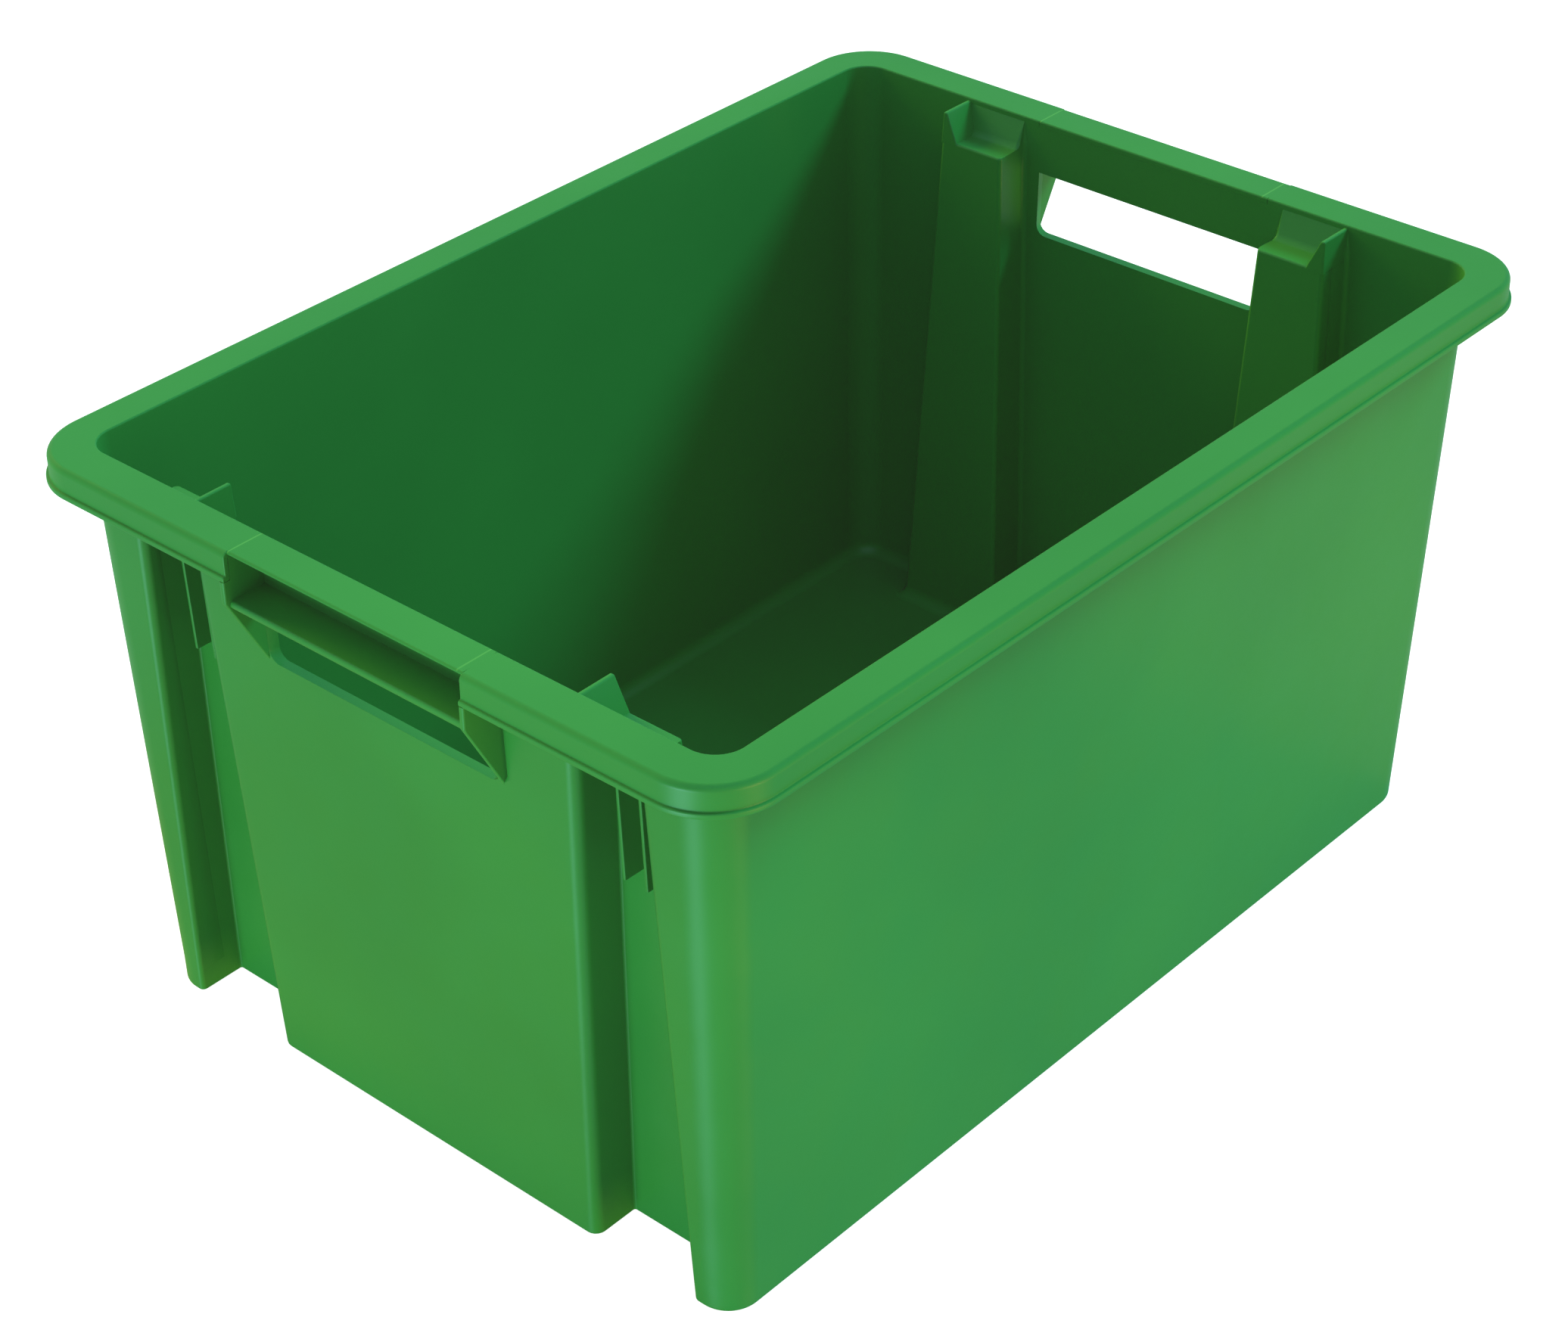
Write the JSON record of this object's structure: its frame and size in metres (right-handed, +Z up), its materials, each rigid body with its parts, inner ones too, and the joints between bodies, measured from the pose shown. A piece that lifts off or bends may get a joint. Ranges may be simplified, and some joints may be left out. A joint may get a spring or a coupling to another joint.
{
  "type": "stack-and-nest crate",
  "caption": "Open-top rectangular plastic storage crate with a flanged rim, hand grips in both ends, and grooved end columns that let crates nest or, turned round, stack.",
  "frame": {"origin": "centre of the underside, at the bottom", "axes": "+X along the length towards the rear end (its columns are the closer pair), +Y towards the left long side, +Z up out of the open top"},
  "size_m": [0.6, 0.436, 0.31],
  "materials": {
    "green_plastic": "satin moulded polypropylene"
  },
  "bodies": {
    "root": {"floor_panel": "green_plastic", "left_wall": "green_plastic", "right_wall": "green_plastic", "front_panel": "green_plastic", "rear_panel": "green_plastic", "front_left_post": "green_plastic", "front_right_post": "green_plastic", "rear_left_post": "green_plastic", "rear_right_post": "green_plastic", "front_left_column": "green_plastic", "front_right_column": "green_plastic", "rear_left_column": "green_plastic", "rear_right_column": "green_plastic", "front_left_ribs": "green_plastic", "front_right_ribs": "green_plastic", "rear_left_ribs": "green_plastic", "rear_right_ribs": "green_plastic", "front_left_ledge": "green_plastic", "front_right_ledge": "green_plastic", "rear_left_ledge": "green_plastic", "rear_right_ledge": "green_plastic", "front_grip_shelf": "green_plastic", "rear_grip_shelf": "green_plastic", "front_left_cheek": "green_plastic", "front_right_cheek": "green_plastic", "rear_left_cheek": "green_plastic", "rear_right_cheek": "green_plastic", "front_rim": "green_plastic", "rear_rim": "green_plastic", "left_rim": "green_plastic", "right_rim": "green_plastic", "front_skirt": "green_plastic", "rear_skirt": "green_plastic", "left_skirt": "green_plastic", "right_skirt": "green_plastic", "front_left_rim_corner": "green_plastic", "front_right_rim_corner": "green_plastic", "rear_left_rim_corner": "green_plastic", "rear_right_rim_corner": "green_plastic"}
  },
  "joints": []
}
